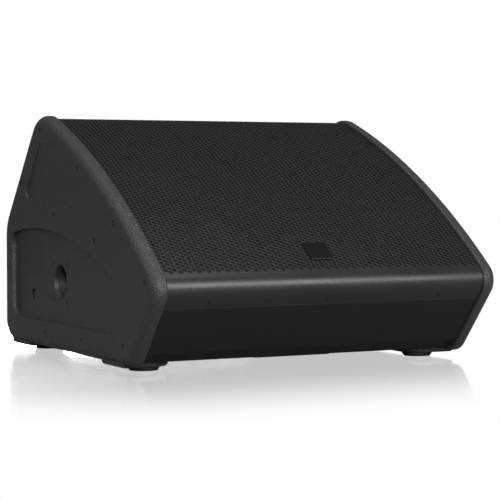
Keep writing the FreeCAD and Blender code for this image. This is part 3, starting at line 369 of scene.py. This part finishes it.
def perforated_grille(material):
    sheet = perforated_sheet()
    mesh = bpy.data.meshes.new("grille_sheet")
    mesh.from_pydata(sheet.verts, [], sheet.faces)
    mesh.update()
    mesh.shade_smooth()
    mesh.set_sharp_from_angle(angle=SHARP_ANGLE)
    mesh.materials.append(material)
    piece = add_piece(mesh)
    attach(piece, "cabinet")
    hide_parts("grille")


# ---------------------------------------------------------------- the driver's soft rings
def across_driver(angle):
    """A direction across the driver's axis."""
    up_slope = DRIVER_OUT.cross(ACROSS)
    return ACROSS * math.cos(angle) + up_slope * math.sin(angle)


def sector_mesh(node, number, middle):
    """One sector of a soft ring, cut from its CAD mesh on both sides of the angle middle."""
    cut = bmesh.new()
    cut.from_mesh(NODES[node].data)
    for side in (-1, 1):
        away = across_driver(middle + side * (math.pi / SECTORS + math.pi / 2))
        everything = cut.verts[:] + cut.edges[:] + cut.faces[:]
        bmesh.ops.bisect_plane(cut, geom=everything, plane_co=DRIVER_AT, plane_no=away,
                               clear_outer=True)
    mesh = bpy.data.meshes.new(f"{node}_{number}")
    cut.to_mesh(mesh)
    cut.free()
    return mesh


def flexing_ring(node, material):
    """Cut a soft ring into sectors, each a new piece with the given material, and hide the ring's CAD
    node.
    """
    for k in range(SECTORS):
        middle = 2 * math.pi * (k + 0.5) / SECTORS
        mesh = sector_mesh(node, k + 1, middle)
        mesh.materials.append(material)
        piece = add_piece(mesh)
        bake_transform(piece)
        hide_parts(node)


# ---------------------------------------------------------------- materials
def new_material(name, colour, roughness, specular, metallic=0.0):
    material = bpy.data.materials.new(name)
    material.use_nodes = True
    shader = material.node_tree.nodes["Principled BSDF"]
    shader.inputs["Base Color"].default_value = (*colour, 1.0)
    shader.inputs["Roughness"].default_value = roughness
    shader.inputs["Metallic"].default_value = metallic
    shader.inputs["Specular IOR Level"].default_value = specular
    return material, shader


def noise(tree, scale, detail=3.0):
    """A noise texture fixed to the object; returns its value's socket."""
    place = tree.nodes.new("ShaderNodeTexCoord")
    texture = tree.nodes.new("ShaderNodeTexNoise")
    texture.inputs["Scale"].default_value = scale
    texture.inputs["Detail"].default_value = detail
    tree.links.new(place.outputs["Object"], texture.inputs["Vector"])
    return texture.outputs["Fac"]


def map_range(tree, source, given, wanted):
    """Carry a value from one pair of limits to another."""
    spread = tree.nodes.new("ShaderNodeMapRange")
    spread.inputs["From Min"].default_value = given[0]
    spread.inputs["From Max"].default_value = given[1]
    spread.inputs["To Min"].default_value = wanted[0]
    spread.inputs["To Max"].default_value = wanted[1]
    tree.links.new(source, spread.inputs["Value"])
    return spread


def add_bump(tree, shader, height, distance):
    bump = tree.nodes.new("ShaderNodeBump")
    bump.inputs["Distance"].default_value = distance
    bump.inputs["Strength"].default_value = 1.0
    tree.links.new(height, bump.inputs["Height"])
    tree.links.new(bump.outputs["Normal"], shader.inputs["Normal"])


def vary_roughness(tree, shader, source, limits):
    """Let a texture run the roughness between two limits."""
    spread = map_range(tree, source, NOISE_RANGE, limits)
    tree.links.new(spread.outputs["Result"], shader.inputs["Roughness"])


def grained(name, colour, roughness, grain, depth, specular, metallic):
    """A surface with a fine even grain, its sheen broken a little by broad unevenness."""
    material, shader = new_material(name, colour, roughness, specular, metallic)
    tree = material.node_tree
    add_bump(tree, shader, noise(tree, grain), depth)
    limits = (roughness - UNEVEN_ROUGHNESS, roughness + UNEVEN_ROUGHNESS)
    vary_roughness(tree, shader, noise(tree, UNEVEN_SCALE), limits)
    return material


def pebbled(name, colour):
    """Moulded plastic with a coarse leathery pebble."""
    material, shader = new_material(name, colour, sum(PEBBLE_ROUGHNESS) / 2, specular=0.32)
    tree = material.node_tree
    add_bump(tree, shader, noise(tree, PEBBLE_SCALE, detail=2.0), PEBBLE_DEPTH)
    vary_roughness(tree, shader, noise(tree, PEBBLE_UNEVEN_SCALE), PEBBLE_ROUGHNESS)
    return material


def foam(name):
    """Open-celled foam: no gloss, and a fine even pitting."""
    material, shader = new_material(name, (FOAM_GREY,) * 3, roughness=1.0, specular=0.1)
    tree = material.node_tree
    add_bump(tree, shader, noise(tree, FOAM_SCALE, detail=4.0), FOAM_DEPTH)
    return material


def make_materials():
    """One material for each of the record's slots."""
    made = {name: grained(name, *values) for name, values in GRAINED.items()}
    made["cheek_plastic"] = pebbled("cheek_plastic", (0.03, 0.03, 0.0305))
    made["acoustic_foam"] = foam("acoustic_foam")
    return made


def paint(materials):
    """Put each record slot's material on the nodes that use it."""
    for row in frame["record"]["subparts"]:
        node = NODES[row["node"]]
        node.data.materials.clear()
        node.data.materials.append(materials[row["material_slot"]])


# ---------------------------------------------------------------- studio
def camera_ray_mix(tree, out, others_see, camera_sees):
    """Show the camera one shader and every other ray another."""
    mix = tree.nodes.new("ShaderNodeMixShader")
    rays = tree.nodes.new("ShaderNodeLightPath")
    tree.links.new(rays.outputs["Is Camera Ray"], mix.inputs["Fac"])
    tree.links.new(others_see, mix.inputs[1])
    tree.links.new(camera_sees, mix.inputs[2])
    tree.links.new(mix.outputs["Shader"], out.inputs["Surface"])


def white_glow(tree, strength):
    glow = tree.nodes.new("ShaderNodeBackground")
    glow.inputs["Color"].default_value = (1, 1, 1, 1)
    glow.inputs["Strength"].default_value = strength
    return glow.outputs["Background"]


def white_world():
    """White behind the object, and a dimmer even light on it."""
    world = bpy.data.worlds.new("studio")
    bpy.context.scene.world = world
    world.use_nodes = True
    tree = world.node_tree
    tree.nodes.clear()
    out = tree.nodes.new("ShaderNodeOutputWorld")
    camera_ray_mix(tree, out, white_glow(tree, AMBIENT), white_glow(tree, 1.0))


def vector_step(tree, operation, source, second=(0, 0, 0)):
    """One step of vector arithmetic on a socket."""
    step = tree.nodes.new("ShaderNodeVectorMath")
    step.operation = operation
    step.inputs[1].default_value = second
    tree.links.new(source, step.inputs[0])
    return step


def mirror_reach(tree):
    """1 under the object, falling to 0 at MIRROR_REACH beyond its footprint."""
    place = tree.nodes.new("ShaderNodeTexCoord")
    away = vector_step(tree, "ABSOLUTE", place.outputs["Object"])
    beyond = vector_step(tree, "SUBTRACT", away.outputs["Vector"], (HALF_WIDTH, DEPTH / 2, 0))
    outside = vector_step(tree, "MAXIMUM", beyond.outputs["Vector"])
    distance = vector_step(tree, "LENGTH", outside.outputs["Vector"])
    fade = map_range(tree, distance.outputs["Value"], (0.0, MIRROR_REACH), (1.0, 0.0))
    fade.interpolation_type = "SMOOTHSTEP"
    return fade.outputs["Result"]


def white_floor(tree, reach):
    """White that gives way to a soft mirror image where reach is high."""
    glow = tree.nodes.new("ShaderNodeEmission")
    level = map_range(tree, reach, (0.0, 1.0), (1.0, 1.0 - MIRROR_DEPTH))
    tree.links.new(level.outputs["Result"], glow.inputs["Strength"])
    gain = tree.nodes.new("ShaderNodeMath")
    gain.operation = "MULTIPLY"
    gain.inputs[1].default_value = MIRROR_DEPTH / AMBIENT
    tree.links.new(reach, gain.inputs[0])
    gloss = tree.nodes.new("ShaderNodeBsdfGlossy")
    gloss.inputs["Roughness"].default_value = MIRROR_ROUGHNESS
    tree.links.new(gain.outputs["Value"], gloss.inputs["Color"])
    both = tree.nodes.new("ShaderNodeAddShader")
    tree.links.new(glow.outputs["Emission"], both.inputs[0])
    tree.links.new(gloss.outputs["BSDF"], both.inputs[1])
    return both.outputs["Shader"]


def floor():
    """A pale floor that mirrors the object softly close to it and is plain white further off."""
    bpy.ops.mesh.primitive_plane_add(size=FLOOR_SIZE, location=(0, 0, 0))
    plane = bpy.context.object
    plane.name = "floor"
    material = bpy.data.materials.new("floor")
    material.use_nodes = True
    tree = material.node_tree
    tree.nodes.clear()
    plain = tree.nodes.new("ShaderNodeBsdfDiffuse")
    plain.inputs["Color"].default_value = (FLOOR_GREY, FLOOR_GREY, FLOOR_GREY, 1)
    out = tree.nodes.new("ShaderNodeOutputMaterial")
    camera_ray_mix(tree, out, plain.outputs["BSDF"], white_floor(tree, mirror_reach(tree)))
    plane.data.materials.append(material)


def area_light(name, place, aim, width, height, watts):
    data = bpy.data.lights.new(name, "AREA")
    data.shape = "RECTANGLE"
    data.size = width
    data.size_y = height
    data.energy = watts
    light = bpy.data.objects.new(name, data)
    light.location = place
    light.rotation_euler = (Vector(aim) - Vector(place)).to_track_quat("-Z", "Y").to_euler()
    bpy.context.scene.collection.objects.link(light)


def lights():
    """Soft lamps in front, at the left and above, two that draw the rounded edges at the cheek's rim
    and the nose, and a low one behind for the back panel."""
    for lamp in LAMPS:
        area_light(*lamp)


def camera():
    data = bpy.data.cameras.new("camera")
    data.sensor_width = SENSOR_WIDTH
    data.lens = LENS
    data.clip_start = 0.05
    data.clip_end = 100.0
    cam = bpy.data.objects.new("camera", data)
    cam.location = CAMERA_AT
    cam.rotation_euler = (math.radians(CAMERA_TILT), 0.0, math.radians(CAMERA_TURN))
    bpy.context.scene.collection.objects.link(cam)
    bpy.context.scene.camera = cam


# ---------------------------------------------------------------- build
materials = make_materials()
paint(materials)
perforated_grille(materials["grille_steel"])
flexing_ring("surround", materials["edge_cloth"])
flexing_ring("spider", materials["spider_cloth"])
white_world()
floor()
lights()
camera()
bpy.context.scene.view_settings.view_transform = "Standard"
